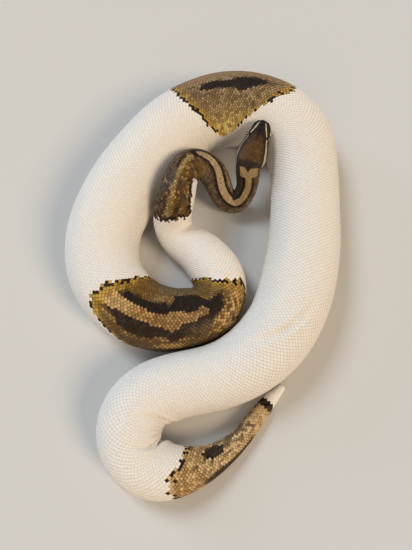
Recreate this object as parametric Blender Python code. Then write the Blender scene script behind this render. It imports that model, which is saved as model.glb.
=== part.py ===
"""A coiled ball python, life size, as a still museum model.

Metres, +Z up. The snake lies on the plane z = 0 with its head end inside the coil, and +Y points
away from a viewer who stands at the tail. The origin is under the middle of the whole outline.
One middle line runs from the snout to the tip of the tail, and every length of the body is a
sweep along its own stretch of that line. Distances along the body are measured from the snout.
"""

import math

import bmesh
import bpy
import numpy as np

MM = 0.001
GAP = 0.0003  # clearance left between neighbouring solids

# The middle line from the snout to the tail's tip, laid by hand, in millimetres:
# x, y, height of the belly above the floor, width of the body.
ROUTE = (
    (57.5, 133.5, 45, 27),  # snout, raised over the coil's inner flank
    (49.5, 110.5, 38.5, 27),
    (42, 87, 31, 25.5),  # nape
    (41.5, 76.5, 20, 22.5),
    (36.5, 68, 9.5, 22),
    (29, 65.5, 3.5, 23.5),  # bottom of the neck's loop
    (21, 68.5, 5, 25.5),
    (14.5, 76, 12, 27),
    (7.5, 86, 22, 29.5),
    (-4, 90.5, 32, 30.5),  # crook of the neck, lying on the coil's flank
    (-15.5, 85.5, 39.5, 31),
    (-22, 73, 43, 31.5),
    (-26, 58.5, 40, 34.5),
    (-30.5, 45, 28, 37),
    (-32, 34, 12, 38),
    (-26, 24.5, 3, 40.5),
    (-11, 11.5, 0, 45),  # down on the floor again
    (4, -5, 0, 50),
    (12.5, -21.5, 0, 51.5),  # turn into the saddle
    (11, -40, 0, 52),
    (-0.5, -53.5, 0, 53.5),
    (-17, -59, 0, 56),
    (-42, -59.5, 0, 60.5),
    (-74, -45, 0, 66),
    (-95, -16, 0, 69),
    (-99, 24, 0, 72.5),
    (-83, 71, 0, 76),
    (-51, 121, 0, 79),
    (-16, 156, 0, 80),
    (26, 171, 0, 80.5),
    (69.5, 162, 0, 79.5),
    (93, 138.5, 0, 76.5),
    (100.5, 101, 0, 71),
    (98, 46, 0, 69),
    (90, -8, 0, 70),
    (72, -60, 0, 68),
    (44, -94, 0, 63.5),
    (6, -112.5, 0, 57.5),
    (-30, -120.5, 0, 56.5),
    (-52.5, -131, 0, 56.5),
    (-63.5, -148.5, 0, 57),
    (-62.5, -167.5, 0, 55),
    (-50.5, -182.5, 0, 50.5),
    (-32, -187.5, 0, 45.5),
    (-13, -186, 0, 36.5),  # vent, where the tail starts
    (6, -179.5, 0, 26.5),
    (35, -157, 0, 17),
    (51, -137.5, 0, 14.5),
    (71, -117.5, 0, 5.5),  # tail's tip
)

# Cross-section of the body: a loaf, flat below, widest under its middle, domed above.
BODY_RATIO = 0.78  # height as a share of width
WAIST = 0.45  # height of the widest line as a share of the height
BELLY_EDGE = math.radians(148)  # angle from the back at which the flat belly starts
RING_POINTS = 24

# The head, from the snout back: distance, half width, rise above and drop below the middle line.
HEAD = (
    (0.0, 2.0, 1.2, 1.0),
    (1.2, 4.8, 2.8, 2.2),
    (4.0, 7.7, 4.4, 3.6),
    (9.0, 9.6, 5.6, 4.6),
    (14.0, 10.4, 6.6, 5.2),
    (19.0, 11.4, 7.4, 5.8),
    (25.0, 13.0, 8.2, 6.6),
    (31.0, 14.8, 8.8, 7.6),
    (37.0, 15.8, 9.1, 8.4),
    (43.0, 15.2, 9.2, 8.6),
    (49.0, 13.2, 9.6, 8.6),
)
HEAD_SQUARE = 0.80  # power of the sine and cosine in the head's section: under 1 squares it
HEAD_LENGTH = 50.0
BLEND = (43.0, 58.0)  # stretch where the head's section turns into the body's
MOUTH_DROP = 1.5  # the mouth line lies this far below the middle line
MOUTH_SAG = 1.3  # and sags by this much halfway to its corner
MOUTH_START = 1.6
MOUTH_CORNER = 36.0
EYE_AT = 19.5  # distance of the eye's centre from the snout
EYE_RADIUS = 2.6
EYE_SIDE = 9.5  # from the middle line to the eye's centre, sideways
EYE_RISE = 3.2  # and upwards

# The lengths of the body: name, distance from the snout at which each ends, in millimetres.
LENGTHS = (
    ("neck", 118.0),
    ("throat", 197.0),
    ("fore_body", 278.0),
    ("trunk_1", 362.0),
    ("trunk_2", 450.0),
    ("trunk_3", 545.0),
    ("trunk_4", 640.0),
    ("trunk_5", 740.0),
    ("trunk_6", 845.0),
    ("trunk_7", 950.0),
    ("trunk_8", 1050.0),
    ("trunk_9", 1135.0),
    ("trunk_10", 1215.0),
    ("tail", 1290.0),
    ("tail_tip", None),
)

SOFTEN = 61  # readings, about 14 mm, over which the line's bends are eased
STRAIGHT_STEP = 13.0  # longest distance between rings
BEND_STEP = math.radians(20)  # and the most that the body turns between them

WHITE = ((0.86, 0.83, 0.76, 1), 0.38)
BROWN = ((0.24, 0.16, 0.08, 1), 0.42)
DARK = ((0.07, 0.055, 0.045, 1), 0.40)
EYE = ((0.02, 0.016, 0.014, 1), 0.08)


def spline(values, places, where):
    """Natural cubic spline through values, one row for each place, read at where."""
    step = np.diff(places)[:, None]
    slope = np.diff(values, axis=0) / step
    count = len(places)
    system = np.eye(count)
    right = np.zeros_like(values)
    for i in range(1, count - 1):
        system[i, i - 1], system[i, i], system[i, i + 1] = (
            step[i - 1, 0],
            2 * (step[i - 1, 0] + step[i, 0]),
            step[i, 0],
        )
        right[i] = 6 * (slope[i] - slope[i - 1])
    bend = np.linalg.solve(system, right)
    i = np.clip(np.searchsorted(places, where, side="right") - 1, 0, count - 2)
    after = (where - places[i])[:, None]
    before = (places[i + 1] - where)[:, None]
    return (
        (bend[i] * before**3 + bend[i + 1] * after**3) / (6 * step[i])
        + (values[i] / step[i] - bend[i] * step[i] / 6) * before
        + (values[i + 1] / step[i] - bend[i + 1] * step[i] / 6) * after
    )


def middle_line():
    """The body's middle line, read every half millimetre: distance, centre, width."""
    points = np.array(ROUTE, float)
    chord = np.linalg.norm(np.diff(points[:, :3], axis=0), axis=1)
    places = np.concatenate([[0.0], np.cumsum(chord)])
    fine = spline(points, places, np.linspace(0, places[-1], 6000))
    fine[:, 2] = np.maximum(fine[:, 2], 0)
    window = np.hanning(SOFTEN)[:, None] / np.hanning(SOFTEN).sum()
    padded = np.pad(fine, ((SOFTEN // 2, SOFTEN // 2), (0, 0)), mode="reflect", reflect_type="odd")
    fine = np.array([(padded[i : i + SOFTEN] * window).sum(axis=0) for i in range(len(fine))])
    width = fine[:, 3]
    centre = fine[:, :3].copy()
    centre[:, 2] += WAIST * BODY_RATIO * width
    run = np.concatenate([[0.0], np.cumsum(np.linalg.norm(np.diff(centre, axis=0), axis=1))])
    even = np.arange(0, run[-1], 0.5)
    table = np.column_stack([centre, width])
    return even, np.column_stack([np.interp(even, run, column) for column in table.T])


DISTANCE, LINE = middle_line()
TAIL_END = DISTANCE[-1]


def frame_at(distance):
    """Centre of the section at a distance, its forward, side and up directions, and its width."""
    centre = np.array([np.interp(distance, DISTANCE, LINE[:, i]) for i in range(3)])
    reach = 1.5
    ends = [
        np.array([np.interp(distance + d, DISTANCE, LINE[:, i]) for i in range(3)])
        for d in (-reach, reach)
    ]
    forward = (ends[1] - ends[0]) / np.linalg.norm(ends[1] - ends[0])
    side = np.array([-forward[1], forward[0], 0.0])
    side /= np.linalg.norm(side)
    return centre, forward, side, np.cross(forward, side), np.interp(distance, DISTANCE, LINE[:, 3])


def body_section(angle, width):
    """Side and up of a point of the body's section, at an angle from the middle of the back."""
    height = BODY_RATIO * width
    across = width / 2 * math.sin(angle)
    around = abs(math.remainder(angle, 2 * math.pi))
    if around <= math.pi / 2:
        return across, (1 - WAIST) * height * math.cos(around)
    drop = min(1.0, (around - math.pi / 2) / (BELLY_EDGE - math.pi / 2))
    return across, -WAIST * height * math.sin(drop * math.pi / 2)


def squared(value):
    return math.copysign(abs(value) ** HEAD_SQUARE, value)


def head_section(angle, distance):
    """Side and up of a point of the head's section."""
    half, above, below = (
        np.interp(distance, [row[0] for row in HEAD], [row[i] for row in HEAD]) for i in (1, 2, 3)
    )
    up = squared(math.cos(angle))
    return half * squared(math.sin(angle)), up * (above if up > 0 else below)


def section(angle, distance, width):
    """The section of the whole animal: the head's, the body's, or a blend of both."""
    share = min(1.0, max(0.0, (distance - BLEND[0]) / (BLEND[1] - BLEND[0])))
    share = share * share * (3 - 2 * share)
    body = body_section(angle, width)
    if share == 1.0:
        return body
    head = head_section(angle, distance)
    return tuple(h + (b - h) * share for h, b in zip(head, body))


def ring_at(distance, shift=0.0, points=RING_POINTS):
    """One ring of points round the body, moved along the body by shift millimetres."""
    centre, forward, side, up, width = frame_at(distance)
    ring = []
    for i in range(points):
        across, rise = section(2 * math.pi * i / points, distance, width)
        ring.append((centre + forward * shift + side * across + up * rise) * MM)
    return ring


def ring_places(start, end):
    """Distances of the rings of one length: closer together where the body bends."""
    fine = np.linspace(start, end, 200)
    forward = np.array([frame_at(d)[1] for d in fine])
    turn = np.arccos(np.clip((forward[1:] * forward[:-1]).sum(axis=1), -1, 1))
    need = np.concatenate([[0.0], np.cumsum(np.diff(fine) / STRAIGHT_STEP + turn / BEND_STEP)])
    count = max(2, math.ceil(need[-1]))
    return np.interp(np.linspace(0, need[-1], count + 1), need, fine)


def loft(rings):
    """A closed mesh through rings of points, with flat ends."""
    form = bmesh.new()
    rows = [[form.verts.new(point) for point in ring] for ring in rings]
    count = len(rows[0])
    for near, far in zip(rows, rows[1:]):
        for i in range(count):
            j = (i + 1) % count
            form.faces.new((near[i], near[j], far[j], far[i]))
    form.faces.new(list(reversed(rows[0])))
    form.faces.new(rows[-1])
    bmesh.ops.recalc_face_normals(form, faces=form.faces)
    return form


def material(name, look):
    colour, roughness = look
    made = bpy.data.materials.get(name) or bpy.data.materials.new(name)
    made.use_nodes = True
    shader = made.node_tree.nodes["Principled BSDF"]
    shader.inputs["Base Color"].default_value = colour
    shader.inputs["Roughness"].default_value = roughness
    shader.inputs["Metallic"].default_value = 0.0
    return made


def add_object(name, form, finish):
    """A visible, smooth-shaded object made from a bmesh."""
    mesh = bpy.data.meshes.new(name)
    form.to_mesh(mesh)
    form.free()
    mesh.shade_smooth()
    mesh.set_sharp_from_angle(angle=math.radians(50))
    mesh.materials.append(finish)
    made = bpy.data.objects.new(name, mesh)
    bpy.context.scene.collection.objects.link(made)
    return made


def add_tool(name, form):
    """A cutter: it shapes its neighbours and isn't part of the model."""
    mesh = bpy.data.meshes.new(name)
    form.to_mesh(mesh)
    form.free()
    tool = bpy.data.objects.new(name, mesh)
    bpy.context.scene.collection.objects.link(tool)
    tool.hide_render = True
    tool.display_type = "WIRE"
    return tool


def cut(target, tool, operation="DIFFERENCE"):
    step = target.modifiers.new(f"{operation.lower()} {tool.name}", "BOOLEAN")
    step.operation = operation
    step.solver = "EXACT"
    step.object = tool


def head_point(distance, across, rise):
    """A point given from the snout, in the head's own side and up directions, in metres."""
    centre, _, side, up, _ = frame_at(distance)
    return (centre + side * across + up * rise) * MM


def head_form():
    """The closed form of the whole head, jaw included, from the snout to the neck's joint."""
    places = [row[0] for row in HEAD]
    rings = [ring_at(place) for place in places]
    rings.append(ring_at(HEAD_LENGTH, shift=-GAP / MM / 2))
    return loft(rings)


def mouth_height(distance):
    return -MOUTH_DROP - MOUTH_SAG * math.sin(math.pi * min(1.0, distance / MOUTH_CORNER))


def jaw_space(clearance):
    """The block under the mouth line that the lower jaw fills, less a clearance all round."""
    reach, depth, steps = 30.0, 20.0, 9
    start, end = MOUTH_START + clearance, MOUTH_CORNER - clearance
    rings = []
    for i in range(steps + 1):
        place = start + (end - start) * i / steps
        top = mouth_height(place) - clearance
        corners = ((-reach, top), (reach, top), (reach, -depth), (-reach, -depth))
        rings.append([head_point(place, across, rise) for across, rise in corners])
    return loft(rings)


def eye_ball(hand, radius):
    """A ball where an eye lies: hand is 1 on the animal's right and -1 on its left."""
    form = bmesh.new()
    bmesh.ops.create_uvsphere(form, u_segments=16, v_segments=10, radius=radius * MM)
    centre = head_point(EYE_AT, hand * EYE_SIDE, EYE_RISE)
    bmesh.ops.translate(form, verts=form.verts, vec=centre)
    return form


def build_head():
    """Head, lower jaw and eyes: one form, parted along the mouth and hollowed for the eyes."""
    head = add_object("head", head_form(), material("head", DARK))
    cut(head, add_tool("jaw_space", jaw_space(0.0)))
    jaw = add_object("lower_jaw", head_form(), material("head", DARK))
    cut(jaw, add_tool("jaw_block", jaw_space(GAP / MM)), "INTERSECT")
    for name, hand in (("right", 1), ("left", -1)):
        cut(head, add_tool(f"socket_{name}", eye_ball(hand, EYE_RADIUS + GAP / MM)))
        add_object(f"eye_{name}", eye_ball(hand, EYE_RADIUS), material("eye", EYE))


def build_body():
    """The lengths from the neck to the tail's tip, each a sweep that stops short of the next."""
    patterned = {"neck", "throat", "trunk_1", "trunk_2", "trunk_5", "tail"}
    start = HEAD_LENGTH
    for name, end in LENGTHS:
        last = end is None
        places = ring_places(start, TAIL_END if last else end)
        rings = [ring_at(places[0], shift=GAP / MM / 2)]
        rings += [ring_at(place) for place in places[1:-1]]
        rings.append(ring_at(places[-1], shift=0.0 if last else -GAP / MM / 2))
        finish = material("brown", BROWN) if name in patterned else material("white", WHITE)
        add_object(name, loft(rings), finish)
        start = end


def main():
    for old in list(bpy.data.objects):
        bpy.data.objects.remove(old, do_unlink=True)
    build_head()
    build_body()


main()
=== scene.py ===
"""Visual model of a coiled piebald ball python: one skin, solid scales over it, and two eyes.

The body is a sweep along the same middle line as the CAD model. A place on it is given by its
distance from the snout in millimetres and its share of the way round, from the back (0) over the
animal's right towards the belly (0.5). Shapes are worked out in millimetres and written in metres.
"""

import math

import bpy
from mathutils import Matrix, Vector
import numpy as np


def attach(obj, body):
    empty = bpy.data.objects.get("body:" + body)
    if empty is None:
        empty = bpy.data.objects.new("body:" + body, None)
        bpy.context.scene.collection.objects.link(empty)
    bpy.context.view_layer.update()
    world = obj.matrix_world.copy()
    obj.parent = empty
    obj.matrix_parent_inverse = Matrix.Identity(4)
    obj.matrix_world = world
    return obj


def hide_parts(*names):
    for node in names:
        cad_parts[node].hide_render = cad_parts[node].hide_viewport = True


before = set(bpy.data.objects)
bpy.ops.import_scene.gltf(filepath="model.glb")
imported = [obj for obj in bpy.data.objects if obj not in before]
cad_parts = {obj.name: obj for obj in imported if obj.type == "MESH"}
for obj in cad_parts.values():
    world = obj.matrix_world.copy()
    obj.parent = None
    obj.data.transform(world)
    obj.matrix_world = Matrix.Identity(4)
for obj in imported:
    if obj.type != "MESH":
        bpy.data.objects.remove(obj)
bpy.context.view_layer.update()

MM = 0.001

# ---- The body: its sizes are the CAD model's ----

# The middle line: x, y, height of the belly, width of the body.
ROUTE = (
    # the raised head and nape, over the right coil's inner flank
    (57.5, 133.5, 45, 27), (49.5, 110.5, 38.5, 27), (42, 87, 31, 25.5), (41.5, 76.5, 20, 22.5),
    # the bottom of the neck's loop
    (36.5, 68, 9.5, 22), (29, 65.5, 3.5, 23.5), (21, 68.5, 5, 25.5), (14.5, 76, 12, 27),
    # the crook of the neck, lying on the left coil's flank
    (7.5, 86, 22, 29.5), (-4, 90.5, 32, 30.5), (-15.5, 85.5, 39.5, 31), (-22, 73, 43, 31.5),
    # down to the floor
    (-26, 58.5, 40, 34.5), (-30.5, 45, 28, 37), (-32, 34, 12, 38), (-26, 24.5, 3, 40.5),
    (-11, 11.5, 0, 45), (4, -5, 0, 50),
    # the lower bend, under the saddle
    (12.5, -21.5, 0, 51.5), (11, -40, 0, 52), (-0.5, -53.5, 0, 53.5), (-17, -59, 0, 56),
    (-42, -59.5, 0, 60.5), (-74, -45, 0, 66),
    # the left coil, the top bend and the right coil
    (-95, -16, 0, 69), (-99, 24, 0, 72.5), (-83, 71, 0, 76), (-51, 121, 0, 79),
    (-16, 156, 0, 80), (26, 171, 0, 80.5), (69.5, 162, 0, 79.5), (93, 138.5, 0, 76.5),
    (100.5, 101, 0, 71), (98, 46, 0, 69), (90, -8, 0, 70), (72, -60, 0, 68),
    # the rear coil and the last turn
    (44, -94, 0, 63.5), (6, -112.5, 0, 57.5), (-30, -120.5, 0, 56.5), (-52.5, -131, 0, 56.5),
    (-63.5, -148.5, 0, 57), (-62.5, -167.5, 0, 55), (-50.5, -182.5, 0, 50.5), (-32, -187.5, 0, 45.5),
    # the tail, from the vent to its tip
    (-13, -186, 0, 36.5), (6, -179.5, 0, 26.5), (35, -157, 0, 17), (51, -137.5, 0, 14.5),
    (71, -117.5, 0, 5.5),
)
ROUTE_SAMPLES = 6000
SOFTEN = 61  # samples in the window that rounds the route
BODY_RATIO = 0.78  # height of the body's section over its width
WAIST = 0.45  # height of its widest place, as a share of the section's height
BELLY_EDGE = math.radians(148)  # the flat belly starts at this angle from the back
# The head's sections: distance, half width, height above the middle line, depth below it.
HEAD = (
    (-0.5, 0.0, 0.0, 0.0), (0.0, 2.0, 1.2, 1.0), (1.2, 4.8, 2.8, 2.2), (4.0, 7.7, 4.4, 3.6),
    (9.0, 9.6, 5.6, 4.6), (14.0, 10.4, 6.6, 5.2), (19.0, 11.4, 7.4, 5.8), (25.0, 13.0, 8.2, 6.6),
    (31.0, 14.8, 8.8, 7.6), (37.0, 15.8, 9.1, 8.4), (43.0, 15.2, 9.2, 8.6), (49.0, 13.2, 9.6, 8.6),
)
FRONT = 0.5  # the snout reaches this far ahead of distance 0
HEAD_SQUARE = 0.80  # power of the head's section: 1 is an ellipse, and less is squarer
BLEND = (43.0, 58.0)  # the head's section turns into the body's between these distances
MOUTH_DROP = 1.5  # the mouth's ends lie this far below the middle line
MOUTH_SAG = 1.3  # and its middle this much lower
MOUTH_CORNER = 36.0  # distance of the mouth's corners
EYE_AT = 19.5  # distance of the eyes
EYE_RADIUS = 2.6
EYE_SIDE = 9.5  # from the middle line to an eye's middle
EYE_RISE = 3.2  # and this high over it
# Lengths of the body, with the distance where each ends.
TRUNK_ENDS = (362, 450, 545, 640, 740, 845, 950, 1050, 1135, 1215)
LENGTHS = (
    ("nape", 50), ("neck", 118), ("throat", 197), ("fore_body", 278),
    *((f"trunk_{i}", end) for i, end in enumerate(TRUNK_ENDS, 1)),
    ("tail", 1290), ("tail_tip", 1e4),
)
BROWN = ("neck", "throat", "trunk_1", "trunk_2", "trunk_5", "tail")  # lengths that are mostly brown
SLOTS = {"nape": "head_scale"} | dict.fromkeys(BROWN, "brown_scale")
FLESH = ("head", "lower_jaw") + tuple(name for name, end in LENGTHS[1:])

# How far the middle of the back leans to the animal's right of the top: distance, degrees.
LEAN = (
    (0, 0), (60, 0), (88, 28), (110, 6), (135, 0), (175, -6), (225, 0), (275, 2), (330, 18),
    (400, 20), (470, 18), (560, 10), (650, 0), (740, 6), (805, 18), (890, 20), (960, 24),
    (1060, 12), (1130, 2), (1200, 0), (1240, -16), (1345, -20),
)
LEAN_GAIN = 1.11  # a degree on the back is this many times 1/360 of the way round

TABLE_STEP = 0.5  # between rows of the middle line's table, and of the surface's past FINE_END
AROUND = 192  # columns of the surface's table, and of the head's skin
SECTION_ANGLES = 721  # samples of a section before it is evened out
FINE_END = 50.5  # the rows are closest from the snout to here
HEAD_RINGS = 240  # rows of the table from the snout to there
AIM = 1.5  # the body's direction is read between places this far either way
TAIL_ROUND = 2.5  # the tail's end is rounded over this length


def smooth(value, low, high):
    """Rise from 0 at low to 1 at high, with soft ends."""
    share = np.clip((value - low) / (high - low), 0, 1)
    return share * share * (3 - 2 * share)


def band(value, low, full, fade, out):
    """Rise from 0 at low to 1 at full, and fall again from fade to out."""
    return smooth(value, low, full) * (1 - smooth(value, fade, out))


def running(steps):
    """The sum of the steps up to each place, from 0."""
    return np.concatenate([[0.0], np.cumsum(steps)])


def pairs(rows, columns):
    """Every pairing of two rows of numbers: the first number of each pair, and the second."""
    return (grid.ravel() for grid in np.meshgrid(rows, columns, indexing="ij"))


def curve(where, points):
    """Read a line through given points."""
    return np.interp(where, *zip(*points))


def spline(values, places, where):
    """Natural cubic spline through values, one row for each place, read at where."""
    step = np.diff(places)[:, None]
    slope = np.diff(values, axis=0) / step
    count = len(places)
    system = np.eye(count)
    right = np.zeros_like(values)
    for i in range(1, count - 1):
        system[i, i - 1] = step[i - 1, 0]
        system[i, i] = 2 * (step[i - 1, 0] + step[i, 0])
        system[i, i + 1] = step[i, 0]
        right[i] = 6 * (slope[i] - slope[i - 1])
    bend = np.linalg.solve(system, right)
    i = np.clip(np.searchsorted(places, where, side="right") - 1, 0, count - 2)
    after = (where - places[i])[:, None]
    before = (places[i + 1] - where)[:, None]
    return (
        (bend[i] * before**3 + bend[i + 1] * after**3) / (6 * step[i])
        + (values[i] / step[i] - bend[i] * step[i] / 6) * before
        + (values[i + 1] / step[i] - bend[i + 1] * step[i] / 6) * after
    )


def middle_line():
    """The body's length, and its middle line at every table step: centre and width."""
    points = np.array(ROUTE, float)
    places = running(np.linalg.norm(np.diff(points[:, :3], axis=0), axis=1))
    fine = spline(points, places, np.linspace(0, places[-1], ROUTE_SAMPLES))
    fine[:, 2] = np.maximum(fine[:, 2], 0)
    window = np.hanning(SOFTEN)[:, None] / np.hanning(SOFTEN).sum()
    padded = np.pad(fine, ((SOFTEN // 2, SOFTEN // 2), (0, 0)), mode="reflect", reflect_type="odd")
    fine = np.array([(padded[i : i + SOFTEN] * window).sum(axis=0) for i in range(len(fine))])
    fine[:, 2] += WAIST * BODY_RATIO * fine[:, 3]
    run = running(np.linalg.norm(np.diff(fine[:, :3], axis=0), axis=1))
    even = np.arange(0, run[-1], TABLE_STEP)
    return even[-1], np.column_stack([np.interp(even, run, column) for column in fine.T])


def unit(vectors):
    return vectors / np.linalg.norm(vectors, axis=-1, keepdims=True)


def read(table, index):
    """Rows of a table at fractional indexes, extended straight past its ends."""
    low = np.clip(np.floor(index).astype(int), 0, len(table) - 2)
    share = (index - low)[:, None]
    return table[low] * (1 - share) + table[low + 1] * share


def body_section(angle, width):
    """Side and up of the body's section, for a column of widths and a row of angles."""
    around = np.abs((angle + math.pi) % (2 * math.pi) - math.pi)
    upper = (1 - WAIST) * np.cos(around)
    drop = np.clip((around - math.pi / 2) / (BELLY_EDGE - math.pi / 2), 0, 1)
    lower = -WAIST * np.sin(drop * math.pi / 2)
    rise = np.where(around <= math.pi / 2, upper, lower)
    return width * np.sin(angle) / 2, width * BODY_RATIO * rise


def bulged(wave, power):
    """A sine or cosine raised to a power, with its sign kept."""
    return np.sign(wave) * np.abs(wave) ** power


def head_section(angle, distance):
    """Side and up of the head's section, for a column of distances and a row of angles."""
    rows = np.array(HEAD)
    where = np.sqrt(np.clip(distance, HEAD[0][0], HEAD[-1][0]) + FRONT)
    sizes = np.maximum(spline(rows[:, 1:], np.sqrt(rows[:, 0] + FRONT), where), 0)
    half, above, below = (sizes[:, i : i + 1] for i in range(3))
    up = bulged(np.cos(angle), HEAD_SQUARE)
    return half * bulged(np.sin(angle), HEAD_SQUARE), up * np.where(up > 0, above, below)


class Surface:
    """A table of the whole animal's smooth outside, read by distance and share round."""

    def __init__(self):
        self.end, line = middle_line()
        root = np.linspace(0, math.sqrt(FINE_END + FRONT), HEAD_RINGS)
        rest = np.arange(FINE_END + TABLE_STEP, self.end, TABLE_STEP)
        self.distance = np.concatenate([root**2 - FRONT, rest])
        before, here, after = (read(line, (self.distance + step) / TABLE_STEP) for step in (-AIM, 0, AIM))
        self.centre, self.width = here[:, :3], here[:, 3]
        self.forward = unit((after - before)[:, :3])  # towards the tail
        level = np.column_stack([-self.forward[:, 1], self.forward[:, 0]])
        self.side = np.column_stack([unit(level), np.zeros(len(level))])  # the animal's right
        self.up = np.cross(self.forward, self.side)
        heading = np.unwrap(np.arctan2(self.forward[:, 1], self.forward[:, 0]))
        self.turn = np.gradient(heading, self.distance)
        self.across, self.rise, self.girth = self.sections()
        self.point = (
            self.centre[:, None]
            + self.side[:, None] * self.across[..., None]
            + self.up[:, None] * self.rise[..., None]
        )
        along = np.gradient(self.point, self.distance, axis=0)
        normal = np.cross(along, np.roll(self.point, -1, axis=1) - np.roll(self.point, 1, axis=1))
        normal[0] = -self.forward[0]
        normal[-1] = self.forward[-1]
        self.normal = unit(normal + 1e-9 * self.up[:, None])

    def sections(self):
        """Each section sampled at equal steps round it, from the top over the right."""
        angle = np.linspace(0, 2 * math.pi, SECTION_ANGLES)[None]
        body = body_section(angle, self.width[:, None])
        head = head_section(angle, self.distance)
        share = smooth(self.distance, *BLEND)[:, None]
        tip = np.clip((self.distance - self.end + TAIL_ROUND) / TAIL_ROUND, 0, 1)[:, None]
        close = np.sqrt(1 - 0.999 * tip**2)
        across, rise = ((h + (b - h) * share) * close for h, b in zip(head, body))
        step = np.hypot(np.diff(across, axis=1), np.diff(rise, axis=1))
        run = np.concatenate([np.zeros((len(step), 1)), np.cumsum(step, axis=1)], axis=1)
        girth = run[:, -1]
        even = np.arange(AROUND) / AROUND
        out = np.zeros((2, len(run), AROUND))
        for i in np.flatnonzero(girth > 1e-6):
            for row, ring in zip(out, (across, rise)):
                row[i] = np.interp(even * girth[i], run[i], ring[i])
        return out[0], out[1], girth

    def index(self, distance):
        return np.interp(distance, self.distance, np.arange(len(self.distance)))

    def along(self, values, distance):
        return np.interp(distance, self.distance, values)

    def look_up(self, table, distance, share):
        """Read a table of rows by distance and columns by share round."""
        down = self.index(distance)
        row = np.clip(down.astype(int), 0, len(table) - 2)
        down = down - row
        right = (share % 1.0) * AROUND
        column = right.astype(int) % AROUND
        right = right - np.floor(right)
        after = (column + 1) % AROUND
        if table.ndim == 3:
            down, right = down[..., None], right[..., None]
        near = table[row, column] * (1 - right) + table[row, after] * right
        far = table[row + 1, column] * (1 - right) + table[row + 1, after] * right
        return near * (1 - down) + far * down

    def place(self, distance, share, height=0.0):
        """Points at a height over the smooth outside, in millimetres."""
        foot = self.look_up(self.point, distance, share)
        normal = self.look_up(self.normal, distance, share)
        return foot + normal * np.asarray(height)[..., None]


body = Surface()


# ---- Markings: where the colour lies, in the body's own terms ----

WHITE = (0.84, 0.79, 0.72)
# The pale net is partly the bare skin's own colour and partly painted shade between the scales.
WHITE_NET_AND_PAINTED_SHADE = (0.66, 0.56, 0.47)
DARK_NET = (0.11, 0.068, 0.040)
PINK = (0.80, 0.64, 0.55)
# The tail tip's white, brighter than WHITE as painted light on the tip.
TIP_WHITE_AND_PAINTED_LIGHT = (1.0, 0.94, 0.86)
TAN = (0.42, 0.255, 0.100)
GOLD = (0.74, 0.44, 0.065)
OLIVE = (0.19, 0.098, 0.022)
UMBER = (0.075, 0.036, 0.014)
DUSK = (0.095, 0.055, 0.032)
MOSS = (0.040, 0.030, 0.019)
BLACK = (0.007, 0.006, 0.006)
CREAM = (0.60, 0.44, 0.28)
CHIN = (0.66, 0.57, 0.46)
LUMA = np.array((0.3, 0.6, 0.1))  # share of each primary in a colour's lightness
SPECKLE = 0.22  # how much single scales differ in lightness

# Ends of the coloured patches: share round from the back, then distance from the snout.
FORE_END = (
    (-0.50, 222), (-0.22, 219.5), (-0.09, 219), (0.02, 216.5), (0.11, 213), (0.20, 212), (0.50, 200),
)
SADDLE_START = (
    (-0.42, 270), (-0.35, 279), (-0.24, 290), (-0.16, 301), (-0.084, 309.5), (0.094, 308.5),
    (0.137, 312.5), (0.196, 316.5), (0.27, 324), (0.42, 340),
)
SADDLE_END = (
    (-0.42, 394), (-0.35, 402), (-0.28, 411), (-0.18, 421), (-0.12, 425.5), (-0.07, 432),
    (0.035, 436), (0.066, 433), (0.087, 428.5), (0.117, 419), (0.147, 408.5), (0.185, 402),
    (0.26, 392), (0.42, 372),
)
TOP_START = (
    (-0.232, 690), (-0.222, 675), (-0.196, 666), (-0.142, 655.5), (-0.089, 651.5),
    (-0.043, 647.5), (0.035, 646), (0.156, 649), (0.30, 655), (0.42, 664),
)
TOP_END = (
    (-0.232, 680), (-0.218, 688), (-0.205, 702), (-0.155, 718), (-0.126, 731), (-0.076, 740.5),
    (-0.029, 749.5), (0.036, 754), (0.121, 751.5), (0.30, 745), (0.42, 736),
)
TAIL_START = (
    (-0.50, 1228), (-0.25, 1218), (-0.15, 1211.5), (-0.07, 1208.5), (-0.025, 1209.5),
    (0.01, 1211.5), (0.052, 1216.5), (0.11, 1220.5), (0.17, 1224), (0.50, 1236),
)
# The fore patch's lower edge on the right: distance, then share.
FORE_RIGHT = ((170, 0.45), (178, 0.36), (181, 0.20), (184, 0.155), (190, 0.175), (197, 0.20), (213, 0.265))
TAIL_BAND = (1310.5, 1317)  # the black band before the white tip
NAPE = 50.9  # the head's colours end here on the back
NAPE_SLANT = 11  # and this much nearer the snout for each whole share down the sides
BELLY_SHARE = 0.415  # the belly's wide scales start at this share from the back


def share_signed(share):
    """Share round between -0.5 and 0.5, from the back."""
    return (share + 0.5) % 1.0 - 0.5


def lean_share(distance):
    """Share round of the middle of the back."""
    return curve(distance, LEAN) / 360 * LEAN_GAIN


def hashed(x, y, seed):
    """A number between 0 and 1 for each place, with no pattern, and the same in each run."""
    wave = np.sin(x * 127.1 + y * 311.7 + seed * 74.7) * 43758.5453
    return wave - np.floor(wave)


def noise(x, y, seed):
    """Smooth noise between -1 and 1 over a plane."""
    i, j = np.floor(x), np.floor(y)
    u, v = smooth(x - i, 0, 1), smooth(y - j, 0, 1)
    near = hashed(i, j, seed) * (1 - u) + hashed(i + 1, j, seed) * u
    far = hashed(i, j + 1, seed) * (1 - u) + hashed(i + 1, j + 1, seed) * u
    return 2 * (near * (1 - v) + far * v) - 1


def ringed_noise(x, share, reach, seed):
    """Smooth noise along the body that meets itself after one turn round it."""
    turn = 2 * math.pi * share
    return noise(x + reach * np.cos(turn), reach * np.sin(turn), seed)


def mix(one, other, share):
    """Colours between one and other."""
    share = np.asarray(share)[..., None]
    return np.asarray(one) * (1 - share) + np.asarray(other) * share


def paint(colour, *layers):
    """Lay layers over a colour in turn, each another colour and how strongly it covers."""
    for other, where in layers:
        colour = mix(colour, other, np.clip(where, 0, 1))
    return colour


def speckle(colour, chance):
    """Make single scales lighter or darker than their neighbours."""
    return colour * (1 + 2 * SPECKLE * (chance[..., None] - 0.5))


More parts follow.
